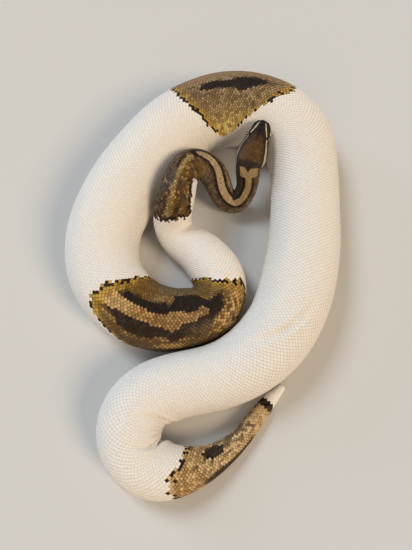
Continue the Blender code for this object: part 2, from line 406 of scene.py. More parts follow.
# Below, d is the distance, r the share from the middle of the back, over 0 on the right, s the same
# in millimetres, and chance a number between 0 and 1 that each scale has for itself.

# The neck line's half width, and the strand's middle and half width: distance, then share.
NECK_LINE = ((56, 0.045), (62, 0.042), (75, 0.048), (100, 0.047), (130, 0.044), (152, 0.046), (158, 0.03))
STRAND = ((160, 0.012), (168, 0.03), (176, 0.022), (186, 0.004), (197, -0.004), (213, 0.012))
STRAND_HALF = ((160, 0.034), (170, 0.040), (180, 0.030), (198, 0.030), (215, 0.044))


def neck_marks(d, r, chance, wave, fleck):
    """The neck: a notched tan bar over the nape and a tan line behind it, both edged in black."""
    side = np.abs(r)
    notch = 2.4 * np.exp(-(((r + 0.012) / 0.020) ** 2))
    bar = (side < 0.128 + 0.008 * wave) & (d > NAPE - NAPE_SLANT * side + notch) & (d < 58 - 13 * side)
    bar_edge = (side < 0.155) & (d > NAPE - 2.4 - NAPE_SLANT * side) & (d < 61 - 12 * side)
    half = curve(d, NECK_LINE) + 0.004 * wave
    line = (side < half) & (d > 51.3 + notch) & (d < 157)
    line_edge = (side < half + 0.052) & (d > 46) & (d < 161.5)
    tan = mix((0.34, 0.235, 0.125), TAN, 0.5 + 0.5 * fleck)
    tan = mix(tan, (0.57, 0.43, 0.25), smooth(d, 84, 100) * (0.55 + 0.3 * fleck))
    # The flanks turn a mottled grey-tan: partly their own tone, partly painted highlights on the scales.
    flank = smooth(side + 0.10 * fleck + 0.12 * (chance - 0.5), 0.08, 0.23)
    pale = smooth(-r, 0.07, 0.12) * band(d, 100, 108, 124, 132)
    fade = smooth(side - half + 0.008 * fleck, 0.018, 0.052)
    return paint(
        mix(DUSK, (0.23, 0.17, 0.115), flank),
        (MOSS, smooth(-r, 0.02, 0.07) * (1 - smooth(d, 84, 98))),
        ((0.36, 0.26, 0.15), pale * (0.6 + 0.6 * fleck)),
        ((0.50, 0.40, 0.31), smooth(side, 0.33, 0.41)),
        (BLACK, (line_edge | bar_edge) * (0.96 - 0.42 * fade)),
        (tan, (line | bar) * 0.98),
    )


def fore_marks(d, r, s, chance):
    """The neck, and behind it the throat with a loose golden strand, darker on its left."""
    wave = noise(d / 6, s / 5, 3)
    fleck = noise(d / 2.6, s / 2.2, 4)
    even = 0.5 + 0.5 * fleck
    right = paint(
        mix(OLIVE, UMBER, smooth(fleck + 0.8 * wave, -0.6, 0.3)),
        ((0.42, 0.27, 0.09), smooth(chance + 0.25 * fleck, 0.40, 0.95) * 0.5),
        (BLACK, smooth(noise(d / 4, s / 4, 8) + 0.4 * (chance - 0.5), 0.1, 0.55) * 0.75),
    )
    left = paint(
        mix((0.055, 0.031, 0.018), (0.13, 0.082, 0.050), smooth(fleck + chance - 0.5, -0.4, 0.8)),
        ((0.32, 0.23, 0.14), smooth(chance, 0.80, 0.97) * 0.5),
    )
    gap = (r - curve(d, STRAND)) / curve(d, STRAND_HALF)
    strand = np.exp(-(gap**2)) + 0.26 * fleck + 0.36 * (chance - 0.5)
    strand = smooth(strand, 0.2, 1.15) * (0.76 + 0.2 * smooth(174 - d, 0, 6))
    rear = paint(
        mix(left, right, smooth(r, 0.0, 0.03)),
        (BLACK, 0.7 * band(-gap, 0.8, 1.2, 1.5, 2.2) * (1 - smooth(d, 176, 186))),
        (mix((0.60, 0.39, 0.13), (0.38, 0.24, 0.09), even), strand),
        (BLACK, smooth(162.5 - d + wave, 0, 1.5) * smooth(0.07 - np.abs(r), 0, 0.02)),
    )
    neck = neck_marks(d, r, chance, wave, fleck)
    inner = smooth(r, 0.10, 0.14) * band(d, 138, 150, 165, 174)
    return paint(
        speckle(mix(neck, rear, smooth(d, 155, 161)), chance),
        (mix((0.30, 0.20, 0.07), OLIVE, even), inner * (0.6 + 0.4 * fleck)),
    )


# Middle and half width of the saddle's tan bar: distance, then share.
SADDLE_BAR = ((340, -0.034), (361, -0.024), (371, -0.008), (378, -0.012), (396, -0.025), (424, -0.018))
SADDLE_BAR_HALF = (
    (339, 0.004), (342, 0.022), (348, 0.028), (358, 0.025), (364, 0.036), (371, 0.052),
    (379, 0.036), (390, 0.029), (410, 0.031), (424, 0.040), (434, 0.055),
)
# Reach of the black bands past the bar, to its left and its right: distance, then share.
LEFT_REACH = (
    (322, 0.0), (328, 0.02), (335, 0.05), (344, 0.085), (352, 0.095), (366, 0.10),
    (376, 0.085), (386, 0.06), (404, 0.05), (416, 0.035), (421, 0.0),
)
RIGHT_REACH = (
    (320, 0.0), (330, 0.04), (338, 0.075), (346, 0.10), (355, 0.105), (363, 0.075),
    (374, 0.05), (392, 0.085), (405, 0.07), (417, 0.035), (427, 0.0),
)


def saddle_marks(d, r, s, chance):
    """The saddle over the lower bend: a tan bar between two black bands, gold at both ends."""
    wave = noise(d / 9, s / 7, 13)
    fleck = noise(d / 5, s / 4, 14)
    shade = smooth(0.7 * fleck + 1.3 * (chance - 0.5), -0.6, 0.7)
    # Tan scales at the saddle's front on the right, made lighter as painted warm light from the right.
    front = smooth(r, 0.02, 0.07) * (1 - smooth(d, 332, 344)) * smooth(chance + 0.3 * fleck, 0.2, 0.9)
    spot = smooth(1 - np.hypot((d - 370) / 16, (r - 0.135) / 0.022) + 0.5 * fleck, 0, 0.3)

    middle = curve(d, SADDLE_BAR)
    half = curve(d, SADDLE_BAR_HALF) + 0.004 * wave
    bar = (np.abs(r - middle) < half) & (d > 339.5)
    tan = np.clip(0.5 + 0.4 * fleck + 0.8 * (chance - 0.5), 0, 1)
    tan = mix((0.30, 0.16, 0.050), (0.48, 0.28, 0.11), tan)
    tan = tan * (1 - 0.22 * smooth(395 - d, 0, 20))[..., None]
    tan = mix(tan, (0.62, 0.42, 0.18), smooth(d, 396, 412) * 0.5)

    off = middle - r - half
    wedge = smooth(1.0 - np.abs(d - 373) / 8 - (0.21 + r) * 5.5, 0.0, 0.25)
    left = smooth(curve(d, LEFT_REACH) - off + 0.012 * wave, 0.0, 0.012) * (off > -0.002)
    left = left * (1 - wedge * smooth(off, 0.035, 0.05))
    round_end = smooth(1 - np.abs((d - 335) / 9), 0, 0.4) * smooth(0.045 - np.abs(r + 0.014), 0, 0.02)
    off = r - middle - half
    right = smooth(curve(d, RIGHT_REACH) - off + 0.012 * wave, 0.0, 0.014) * (off > -0.002)
    right = right * (0.96 - 0.3 * smooth(368 - d, 0, 20) * smooth(r, 0.02, 0.06))

    gold = np.maximum(smooth(317 - d + 6 * wave, 0, 10), smooth(d - 418 + 6 * wave, 0, 12))
    glint = mix(GOLD, (0.20, 0.11, 0.022), smooth(fleck - chance + 0.5, -0.2, 0.7))
    glint = mix(glint, (0.15, 0.072, 0.012), 0.62 * smooth(350 - d, 0, 20))
    colour = paint(
        mix((0.16, 0.090, 0.030), (0.30, 0.18, 0.065), shade),
        ((0.16, 0.115, 0.055), smooth(-r, 0.10, 0.22) * 0.9),
        (OLIVE, smooth(d, 385, 392) * smooth(-r, 0.03, 0.08) * (0.7 + 0.5 * fleck)),
        (OLIVE, smooth(-r, 0.03, 0.10) * (1 - smooth(d, 336, 350)) * 0.6),
        ((0.045, 0.024, 0.010), smooth(r, 0.09, 0.12) * smooth(d, 338, 350) * (0.80 + 0.4 * fleck)),
        # painted warm light: the lighter tan at the front on the right
        ((0.62, 0.38, 0.14), front * 0.8),
        ((0.52, 0.33, 0.11), spot * 0.6),
        (BLACK, np.maximum(left, round_end) * 0.97),
        ((0.016, 0.010, 0.007), right),
        (tan, bar * 0.98),
        (glint, gold * 0.85),
    )
    return speckle(colour, chance)


# Half width of the black bar: distance, then share.
TOP_BAR_HALF = ((667, 0.028), (680, 0.02), (700, 0.026), (708, 0.045), (722, 0.036), (736, 0.02))


def top_marks(d, r, s, chance):
    """The patch on the top bend: brown, golden towards its point, partly as painted light, with a black bar
    on the back.
    """
    wave = noise(d / 10, s / 8, 23)
    fleck = noise(d / 5, s / 4.5, 24)
    shade = 0.5 + 0.14 * fleck + 0.2 * wave + 1.1 * (chance - 0.5) - 0.4 * smooth(668 - d, 0, 10)
    # The brightest gold here is painted light on the point, which faces away from the lamps.
    point = mix((0.44, 0.29, 0.07), (1.0, 0.80, 0.22), smooth(chance, 0.1, 0.7))
    ends = np.clip(1 - ((d - 700.5) / 35) ** 6, 0, 1)
    middle = 0.009 + 0.010 * np.sin(d / 9.5) + 0.006 * wave
    bar = smooth(curve(d, TOP_BAR_HALF) * ends - np.abs(r - middle), -0.004, 0.004) * (ends > 0.05)
    return paint(
        mix((0.15, 0.092, 0.040), (0.37, 0.25, 0.125), np.clip(shade, 0, 1)),
        ((0.38, 0.24, 0.11), band(-r, 0.02, 0.06, 0.12, 0.2) * (1 - smooth(d, 690, 715)) * 0.15),
        ((0.33, 0.20, 0.09), band(r, 0.045, 0.07, 0.12, 0.2) * 0.7),
        ((0.10, 0.060, 0.028), smooth(r, 0.17, 0.3) * 0.6),
        (point, smooth(-r, 0.09, 0.205) * (0.75 + 0.25 * fleck)),
        (BLACK, bar * 0.97),
    )


def tail_marks(d, r, s, chance):
    """The tail: golden tan, a black blotch on the right, a black line on the left, and a band."""
    wave = noise(d / 7, s / 5, 33)
    fleck = noise(d / 3.2, s / 2.6, 34)
    shade = 0.45 + 0.25 * fleck + 0.9 * (chance - 0.5) - 0.45 * smooth(d, 1285, 1306)
    mottled = 0.75 * smooth(r, -0.05, 0.03) * band(d, 1250, 1264, 1292, 1304)
    mottled = np.maximum(mottled, smooth(wave + 0.5 * fleck, 0.35, 0.8) * smooth(r, -0.03, 0.05))
    blotch = 1 - np.hypot((d - 1251) / 11.5, (r - 0.137) / 0.075) + 0.18 * fleck
    low = 0.012 * wave
    line = band(d, 1232, 1240, 1284, 1290) * band(-r, 0.075 + low, 0.088 + low, 0.16, 0.19)
    return paint(
        mix((0.70, 0.475, 0.22), (0.23, 0.145, 0.068), np.clip(shade, 0, 1)),
        ((0.34, 0.18, 0.05), (1 - smooth(d, 1222, 1246)) * smooth(chance, 0.0, 0.8) * 0.8),
        ((0.10, 0.065, 0.04), mottled * smooth(chance + 0.4 * fleck, 0.1, 0.8) * 0.9),
        (BLACK, smooth(blotch, 0, 0.12) * 0.95),
        (BLACK, line * 0.93),
        ((0.42, 0.33, 0.2), smooth(np.abs(r), 0.30, 0.40) * 0.8),
        (BLACK, (d > TAIL_BAND[0] + 1 + 1.5 * wave) * 0.95),
    )


# Middle and half width of the cream stripes: distance, then share.
STRIPE = (
    (2, 0.07), (5, 0.088), (10.4, 0.108), (14, 0.132), (21, 0.155), (28, 0.166), (38, 0.178),
    (44, 0.205), (49, 0.205),
)
STRIPE_HALF = (
    (3.2, 0.0), (4.4, 0.013), (9, 0.015), (17, 0.011), (24, 0.012), (36, 0.015), (42, 0.021),
    (47, 0.02), (49, 0),
)


def mouth_height(distance):
    """Height of the mouth's line over the middle line."""
    sag = np.sin(math.pi * np.clip(distance / MOUTH_CORNER, 0, 1))
    return -MOUTH_DROP - MOUTH_SAG * sag


def head_colour(d, r, chance):
    """The head: a dark crown between two cream stripes, dark sides and pale lips and chin."""
    side = np.abs(r)
    rise = body.look_up(body.rise, d, r)
    fleck = noise(d / 1.7, r * 45, 61)
    below = side - curve(d, STRIPE)
    half = curve(d, STRIPE_HALF)
    crown = smooth(-below, 0.025, 0.085) * band(d, 13, 24, 43.5, 46.5)
    mouth = mouth_height(d)
    lips = smooth(mouth + 3.5 - rise + 0.4 * fleck, 0, 0.5) * (1 - smooth(d, 37, 41))
    lip = mix((0.23, 0.165, 0.115), CREAM, smooth(d, 4, 14) * (0.8 + 0.2 * fleck))
    # On the left behind the eye the cream stripe is thinner and a cooler grey: partly the stripe itself,
    # partly a painted highlight along the head's edge.
    thin = smooth(-r, 0.02, 0.06) * smooth(d, 20, 24)
    stripe = smooth(half * (1 - 0.1 * thin) - np.abs(below), -0.002, 0.003) * (half > 0)
    cream = mix(CREAM, (0.66, 0.52, 0.37), 0.5 + 0.5 * fleck)
    cream = mix(cream, (0.36, 0.32, 0.26), thin * 0.8)
    return paint(
        mix((0.024, 0.017, 0.012), (0.098, 0.046, 0.013), crown * (0.72 + 0.40 * fleck)),
        ((0.28, 0.17, 0.06), crown * smooth(chance, 0.82, 0.95) * smooth(d, 24, 30) * 0.5),
        ((0.030, 0.019, 0.013), smooth(below, 0.0, 0.02)),
        ((0.17, 0.125, 0.09), smooth(d, 24, 40) * smooth(below, 0.04, 0.10)),
        (lip, lips * 0.95),
        (CHIN, smooth(mouth - 2.2 - rise, 0, 1.2)),
        (CHIN, smooth(side, 0.33, 0.39)),
        (cream, stripe * (0.95 - 0.15 * thin)),
    )


def coat_colour(d, share, chance):
    """Colour of the coat at a list of places."""
    r = share_signed(share - lean_share(d))
    girth = body.along(body.girth, d)
    s = r * girth
    ragged = 0.9 * noise(d / 5, s / 5, 41) + 3.2 * (chance - 0.5)
    patches = (
        (np.minimum(curve(r, FORE_END) - d, (curve(d, FORE_RIGHT) - r) * girth), fore_marks),
        (np.minimum(d - curve(r, SADDLE_START), curve(r, SADDLE_END) - d), saddle_marks),
        (np.minimum(d - curve(r, TOP_START), curve(r, TOP_END) - d), top_marks),
        (np.minimum(d - curve(r, TAIL_START), TAIL_BAND[1] - d), tail_marks),
    )
    colour = mix(WHITE, PINK, smooth(noise(d / 30, s / 22, 51), 0.1, 0.9) * 0.15)
    for inner, marks in patches:
        here = inner + ragged > 0
        inner = (inner + ragged)[here]
        luck = hashed(chance[here] * 57, 0, 43)
        laid = marks(d[here], r[here], s[here], luck)
        if marks in (saddle_marks, top_marks):
            glow = mix(GOLD, (0.18, 0.095, 0.02), smooth(luck, 0.35, 0.8))
            laid = paint(laid, (glow, (1 - smooth(inner, 4, 12)) * 0.5))
        edge = (inner < 3.3) & (luck > 0.28)
        colour[here] = paint(laid, (BLACK, edge * 0.97))
    colour = paint(
        colour,
        (TIP_WHITE_AND_PAINTED_LIGHT, smooth(d, TAIL_BAND[1], TAIL_BAND[1] + 3)),
        (WHITE, smooth(np.abs(r), BELLY_SHARE - 0.01, BELLY_SHARE + 0.01) * 0.95),
    )
    front = d < NAPE - NAPE_SLANT * np.minimum(np.abs(r), 0.13)
    colour[front] = head_colour(d[front], r[front], chance[front])
    return colour


def net_colour_and_shade(colour):
    """Colour of the bare skin between scales, partly painted shade in the gaps and on the scales' rims:
    darker beside pale scales, lighter beside black.
    """
    light = colour @ LUMA
    # The palest colours, chiefly on the tail's tip, take less of the net, adding to the painted light
    # there.
    pale = mix(colour * 0.86, WHITE_NET_AND_PAINTED_SHADE, 0.75 - 0.5 * smooth(light, 0.82, 0.9))
    dark = mix(colour, DARK_NET, 0.14 + 0.16 * smooth(light, 0.012, 0.03))
    net = mix(dark, colour * (0.17, 0.14, 0.12), smooth(light, 0.05, 0.11))
    return mix(net, pale, smooth(light, 0.40, 0.60))


# ---- Relief of the skin ----

COAT = 0.45  # the skin lies this far inside the outline, and the scales stand on it
COAT_STARTS = (20, 40)  # it sinks to that depth between these distances
RELIEF_STARTS = (50, 80)  # folds, creases and lumps grow to their full height between these

# Creases of the loose skin: distance and share where each is deepest, distance and share where it
# runs out, its depth and its half width.
CREASES = (
    (1112, 0.27, 1152, 0.02, 2.6, 2.4),  # inside the last turn
    (1203, 0.27, 1166, -0.01, 3.2, 2.2),
    (997, 0.025, 1034, -0.075, 1.3, 3.0),  # across the rear coil's back
    (997, 0.025, 955, 0.11, 1.3, 3.0),
    (300, 0.02, 291, 0.15, 0.6, 2.8),  # in front of the saddle
    (300, 0.02, 308, -0.09, 0.6, 2.8),
)
# Folds inside the bends: spacing, sharpness, depth, and how much squeezed the skin is where they
# start and where they are deepest.
FOLDS = ((13.0, 2.5, 1.7, 0.42, 0.85), (23.0, 1.5, 0.45, 0.12, 0.4))


def stretch_at(distance, share):
    """Length on the surface of a step of distance: over 1 outside a bend, under 1 inside it."""
    return 1 - body.along(body.turn, distance) * body.look_up(body.across, distance, share)


def crease_relief(distance, share):
    """Height of the loose skin's creases, each a valley between two low lips."""
    girth = body.along(body.girth, distance)
    stretch = np.clip(stretch_at(distance, share), 0.15, 3)
    height = np.zeros(distance.shape)
    for start, start_share, end, end_share, depth, width in CREASES:
        run = (end - start) * stretch
        rise = (end_share - start_share) * girth
        ahead = (distance - start) * stretch
        aside = (share_signed(share) - start_share) * girth
        length = np.hypot(run, rise)
        gone = (ahead * run + aside * rise) / length**2
        off = np.abs(ahead * rise - aside * run) / length / width
        fade = band(gone, -0.35, 0.0, 0.35, 1.0)
        height += depth * fade * (0.35 * np.exp(-((off - 2) ** 2)) - np.exp(-(off**2)))
    return height * smooth(stretch, 0.15, 0.45)


def skin_relief(distance, share):
    """Height of the skin over the smooth outline: the coat's depth, folds, creases and lumps."""
    lumps = ringed_noise(distance / 38, share, 0.9, 72) - 1
    height = 0.003 * body.along(body.girth, distance) * lumps + crease_relief(distance, share)
    squeeze = 1 - stretch_at(distance, share)
    wander = 0.25 * ringed_noise(distance / 17, share, 1.4, 71)
    for spacing, sharpness, depth, low, high in FOLDS:
        valley = (1 - np.abs(np.sin(math.pi * (distance / spacing + wander)))) ** sharpness
        height = height - depth * smooth(squeeze, low, high) * valley
    return height * smooth(distance, *RELIEF_STARTS) - COAT * smooth(distance, *COAT_STARTS)


def on_skin(distance, share, height=0.0):
    """Points at a height over the skin, in millimetres."""
    return body.place(distance, share, height + skin_relief(distance, share))


# ---- The head's plates, eyes, nostrils, pits and mouth ----

# Middles of the plates on one side of the crown and the face: distance and share round.
CROWN = (
    (2.4, 0.070), (2.6, 0.170),  # internasal and nasal
    (6.3, 0.055), (6.0, 0.150), (10.6, 0.040), (10.0, 0.105),  # prefrontals
    (9.2, 0.165), (12.6, 0.155), (13.2, 0.200), (9.8, 0.215), (6.2, 0.215),  # loreals
    (15.3, 0.030), (14.6, 0.090), (19.2, 0.040), (19.4, 0.118),  # frontal, and over the eye
    (23.3, 0.030), (23.6, 0.085), (24.2, 0.135),  # parietals
)
MIDDLE_PLATES = ((-0.3, 0.0), (0.2, 0.5), (2.6, 0.5), (8, 0.47), (13, 0.475), (5, 0.43), (10, 0.42))
UPPER_LIPS = (1.7, 4.3, 7.1, 10.0, 13.0, 16.0, 19.0, 22.0, 25.0, 28.0, 31.0, 34.0)
LOWER_LIPS = 1.2 + 2.75 * np.arange(13)
CHIN_PLATES = 4.0 + 2.7 * np.arange(12)
EYE_PLATES = (10, 3.75, 3.4)  # plates round an eye: how many, reach ahead and up
PLATES_END = (25.5, 27.5)  # small scales take over from the crown's plates between these
FILL_ROWS = 3.0 + 1.45 * np.arange(26)  # rows of small plates that fill what is left
FILL_APART = 1.75  # least distance of such a plate from the others
FILL_GAP = 1.9  # between the places tried in a row
NOSTRIL = (3.3, 0.158)  # distance and share round


def share_at_rise(distance, rise):
    """Share round, on the right, where the side of the head is at a given height."""
    row = body.rise[int(round(float(body.index(distance))))][: AROUND // 2 + 1]
    return float(np.interp(-rise, -row, np.arange(AROUND // 2 + 1) / AROUND))


def lip_row(distances, rise):
    """Plates in a row along the mouth, at a height over it."""
    return [(d, share_at_rise(d, mouth_height(d) + rise)) for d in distances]


def both_sides(places):
    return places + [(d, -share) for d, share in places]


def plate_seeds():
    """Middles of the head's plates on both sides, as distance and share round, and of its pits."""
    upper = lip_row(UPPER_LIPS, 1.25)
    lower = lip_row(LOWER_LIPS, -1.2)
    chin = lip_row(CHIN_PLATES, -3.3)
    ring = []
    count, ahead, up = EYE_PLATES
    for turn in 2 * math.pi * (np.arange(count) + 0.5) / count:
        d = EYE_AT + ahead * math.cos(turn)
        ring.append((d, share_at_rise(d, EYE_RISE + up * math.sin(turn))))
    seeds = list(MIDDLE_PLATES) + both_sides(list(CROWN) + upper + lower + chin + ring)
    taken = body.place(*np.array(seeds).T)
    eye = eye_frame(1)[0]
    for i, d in enumerate(FILL_ROWS):
        girth = float(body.along(body.girth, d))
        for j in range(int(girth / 2 / FILL_GAP) + 1):
            share = min(0.5, (j + 0.5 * (i % 2)) * FILL_GAP / girth)
            spots = body.place(np.full(2, d), np.array([share, -share]))
            apart = np.linalg.norm(taken - spots[0], axis=1).min()
            if apart > FILL_APART and np.linalg.norm(eye - spots[0]) > EYE_RADIUS + 0.6:
                seeds += both_sides([(d, share)])
                taken = np.concatenate([taken, spots])
    return np.array(seeds), np.array(both_sides(upper[:5] + lower[7:11]))


def eye_frame(hand):
    """Middle of an eye, and the ways aside, up and ahead: hand is 1 on the right, -1 on the left."""
    i = np.array([body.index(EYE_AT)])
    tables = (body.centre, hand * body.side, body.up, -body.forward)
    centre, aside, up, ahead = (read(table, i)[0] for table in tables)
    return centre + aside * EYE_SIDE + up * EYE_RISE, aside, up, ahead


def plated(distance, rise):
    """1 where the head has plates and labials, 0 where the small scales start."""
    lips = smooth(3.4 - np.abs(rise - mouth_height(distance)), 0, 0.6) * (distance < MOUTH_CORNER + 1)
    return np.maximum(1 - smooth(distance, *PLATES_END), lips)


def head_skin(distance, share):
    """Height and colour of the head's skin at a list of places."""
    foot = body.place(distance, share)
    rise = body.look_up(body.rise, distance, share)
    seeds, pits = plate_seeds()
    gap = np.linalg.norm(foot[:, None] - body.place(*seeds.T), axis=2)
    first, second = np.partition(gap, 1, axis=1)[:, :2].T
    nearest = seeds[gap.argmin(axis=1)]
    chance = hashed(nearest[:, 0] * 3.1, nearest[:, 1] * 91.0, 5)
    crack = 1 - smooth(second - first, 0.0, 0.45)
    plates = plated(distance, rise)
    height = plates * (0.10 - 0.36 * crack - 0.02 * first**2)
    colour = coat_colour(distance, share, chance)
    colour = colour * (1 + (chance[:, None] - 0.5) * 0.22 * plates[:, None])
    colour = paint(colour, (net_colour_and_shade(colour) * 0.8, (1 - plates) * 0.8))
    colour = paint(colour, (colour * 0.40 + 0.004, crack * plates * 0.85))

    mouth = np.abs(rise - mouth_height(distance))
    mouth = (1 - smooth(mouth, 0.12, 0.5)) * (distance < MOUTH_CORNER)
    near = np.linalg.norm(foot[:, None] - body.place(*pits.T), axis=2).min(axis=1)
    height = height - 0.75 * mouth - 0.55 * (1 - smooth(near, 0.15, 0.75))
    colour = paint(
        colour,
        ((0.03, 0.02, 0.016), mouth * 0.8),
        ((0.05, 0.032, 0.025), (1 - smooth(near, 0.1, 0.6)) * 0.8),
    )
    for hand in (1, -1):
        nose = body.place(np.array([NOSTRIL[0]]), np.array([hand * NOSTRIL[1]]))[0]
        near = np.linalg.norm(foot - nose, axis=1)
        height = height - 0.9 * (1 - smooth(near, 0.3, 0.95)) + 0.15 * smooth(near, 0.6, 1.0) * (near < 1.6)
        colour = paint(colour, ((0.01, 0.008, 0.008), 1 - smooth(near, 0.35, 0.8)))
        near = np.linalg.norm(foot - eye_frame(hand)[0], axis=1)
        rim = np.exp(-(((near - EYE_RADIUS - 0.75) / 0.5) ** 2))
        brow = smooth(rise, EYE_RISE - 0.5, EYE_RISE + 2.0)
        height = height + rim * (0.28 + 0.35 * brow) - 1.9 * (1 - smooth(near, 2.2, EYE_RADIUS + 0.3))
        colour = paint(colour, (BLACK, (1 - smooth(near, EYE_RADIUS + 0.1, EYE_RADIUS + 1.0)) * 0.9))
    return height, colour


# ---- Meshes ----


def make_mesh(name, points, corners, sizes, tint, bake=None):
    """A piece from arrays: points in millimetres, the faces' corners, colours and OFBake map."""
    mesh = bpy.data.meshes.new(name)
    mesh.vertices.add(len(points))
    mesh.vertices.foreach_set("co", (points * MM).astype(np.float32).ravel())
    mesh.loops.add(len(corners))
    mesh.loops.foreach_set("vertex_index", corners.astype(np.int32))
    mesh.polygons.add(len(sizes))
    mesh.polygons.foreach_set("loop_start", (np.cumsum(sizes) - sizes).astype(np.int32))
    mesh.polygons.foreach_set("loop_total", sizes.astype(np.int32))
    mesh.update(calc_edges=True)
    mesh.validate()
    layer = mesh.color_attributes.new("Tint", "FLOAT_COLOR", "POINT")
    full = np.column_stack([np.clip(tint, 0, 1), np.ones(len(tint))])
    layer.data.foreach_set("color", full.astype(np.float32).ravel())
    if bake is not None:
        chart = mesh.uv_layers.new(name="OFBake")
        chart.data.foreach_set("uv", bake.astype(np.float32).ravel())
    mesh.shade_smooth()
    piece = bpy.data.objects.new(name, mesh)
    bpy.context.scene.collection.objects.link(piece)
    return piece


def flat(faces):
    """Corners of a list of faces in one row, and how many each face has."""
    return np.concatenate(faces), np.array([len(face) for face in faces])


BANDS = (-0.5, 130.0, 430.0, 730.0, 1030.0, 1345.0)  # strips of the skin's unwrap, by distance
RING_STEP = 2.9  # between rings of the body's skin where it is straight
BODY_COLUMNS = AROUND // 2


def ring_distances():
    """Distances of the skin's rings: closer on the head, in tight bends and at the tail's tip."""
    tight = smooth(np.abs(body.turn) * body.width / 2, 0.35, 0.75)
    end = smooth(body.distance, body.end - 12, body.end - 2)
    step = RING_STEP * (1 - 0.45 * tight) * (1 - 0.7 * end)
    count = running(np.diff(body.distance) / step[1:])
    first = np.interp(FINE_END, body.distance, count) + 0.8
    return body.distance[2:HEAD_RINGS], np.interp(np.arange(first, count[-1]), count, body.distance)


def band_chart(distance, turn_share, ring_start):
    """Place in the skin's unwrap: turn_share runs from 0 to 1 round from the belly."""
    strip = np.clip(np.searchsorted(BANDS, ring_start, side="right") - 1, 0, len(BANDS) - 2)
    low, high = np.array(BANDS)[strip], np.array(BANDS)[strip + 1]
    across = 0.01 + 0.98 * (distance - low) / (high - low)
    return np.column_stack([across, (strip + 0.03 + 0.94 * turn_share) / (len(BANDS) - 1)])


def grid_faces(rows, columns, first):
    """Corners of the quads between rings, with the ring and column of each corner."""
    i, j = pairs(np.arange(rows - 1), np.arange(columns))
    ring = np.column_stack([i, i + 1, i + 1, i])
    column = np.column_stack([j, j, j + 1, j + 1])
    return first + ring * columns + column % columns, ring, column


def build_skin():
    """The whole animal's skin as one closed mesh, finest on the head."""
    head_at, body_at = ring_distances()
    d, share = pairs(head_at, np.arange(AROUND) / AROUND)
    height, head_tint = head_skin(d, share)
    head_points = on_skin(d, share, height)
    d, share = pairs(body_at, np.arange(BODY_COLUMNS) / BODY_COLUMNS)
    body_points = on_skin(d, share)
    body_tint = net_colour_and_shade(coat_colour(d, share, np.full(len(d), 0.5)))
    tail_end = body.centre[-1] + body.forward[-1] * 0.15
    points = np.concatenate([head_points, body_points, [body.point[0, 0], tail_end]])
    tint = np.concatenate([head_tint, body_tint, [head_tint[0], body_tint[-1]]])
    corners, bake, sizes = [], [], []

    def add(faces, distance, column, around):
        """Collect faces, given each corner's distance and column."""
        turned = (column[:, :1] + around / 2) % around + column - column[:, :1]
        near = np.repeat(distance.min(axis=1), faces.shape[1]) + 1e-4
        corners.append(faces.ravel())
        bake.append(band_chart(distance.ravel(), turned.ravel() / around, near))
        sizes.append(np.full(len(faces), faces.shape[1]))

    start, snout, end = len(head_points), len(points) - 2, len(points) - 1
    for at, columns, first in ((head_at, AROUND, 0), (body_at, BODY_COLUMNS, start)):
        faces, ring, column = grid_faces(len(at), columns, first)
        add(faces, at[ring], column, columns)
    i = np.arange(AROUND)
    j = np.arange(BODY_COLUMNS)
    wide = start - AROUND + np.stack([2 * j, 2 * j + 1, (2 * j + 2) % AROUND])
    slim = start + np.stack([j, (j + 1) % BODY_COLUMNS])
    rear = slim - start + snout - BODY_COLUMNS
    tip, front, back, last = head_at[0], head_at[-1], body_at[0], body_at[-1]
    for trio, at, column, around in (
        # the snout's cap
        ((snout, i, (i + 1) % AROUND), (BANDS[0], tip, tip), (i, i, i + 1), AROUND),
        # the seam, where two columns of the head meet one of the body
        ((wide[0], slim[0], wide[1]), (front, back, front), (2 * j, 2 * j, 2 * j + 1), AROUND),
        ((wide[1], slim[0], slim[1]), (front, back, back), (2 * j + 1, 2 * j, 2 * j + 2), AROUND),
        ((wide[1], slim[1], wide[2]), (front, back, front), (2 * j + 1, 2 * j + 2, 2 * j + 2), AROUND),
        # the tail's cap
        ((rear[0], end, rear[1]), (last, body.end, last), (j, j, j + 1), BODY_COLUMNS),
    ):
        faces = np.column_stack(np.broadcast_arrays(*trio))
        add(faces, np.tile(at, (len(faces), 1)), np.column_stack(column), around)
    corners, sizes, bake = (np.concatenate(parts) for parts in (corners, sizes, bake))
    return make_mesh("skin", points, corners, sizes, tint, bake)


# ---- Scales ----

ROW_GAP = 2.45  # between rows of scales round the body, where the body is ROW_WIDTH wide
ROW_WIDTH = 70.0
PERIOD = 1.3  # length of a scale's cell, in row gaps
MOST_ROWS = 75  # on each side of the back
FIRST_SCALE = 25.0  # distance where the small scales start
LAST_SCALE = 1.5  # they stop this far before the tail's end
BELLY_START = 60  # distance where the belly's wide scales start
FINE_MARKS = 150  # up to here markings run through the scales, and further back each has one colour
LIFT = 0.22  # height of a scale's tail edge, in row gaps
# How far a step along the back is stretched on the surface, from and to, and the length of the
# cells there, in cells of the straight body.
SHIFTS = ((0.46, 9.0, 1), (0.22, 0.46, 2), (-1.0, 0.22, 4))
REACH = ((0.9, 0), (-0.9, 0), (0, 1), (0, -1))  # short cells run on this far: cells, rows
PATCH = 0.003  # width of a scale's patch in the OFBake map

OUTLINE = 8  # points round a scale
ROUND = 1.45  # power of a scale's outline: 1 is a diamond and 2 an ellipse
FORE, AFT, HALF = 0.60, 0.72, 0.96  # reach of a scale ahead, behind and aside, in its cell's units
# A scale's rings from its foot up: size, height at the front, what the slope adds, share of the net's
# colour, which is partly painted shade at the rim.
SCALE_RINGS = ((1.0, -0.9, 0.0, 1.0), (0.94, 0.05, 0.86, 0.95), (0.62, 0.32, 0.74, 0.15))
SCALE_TOP = (0.03, 0.86)  # place along the scale and height

SCUTE_STATIONS = 9  # sections of a belly scale from side to side
SCUTE_LIFT = 0.065  # unit of its heights, in its cell's lengths
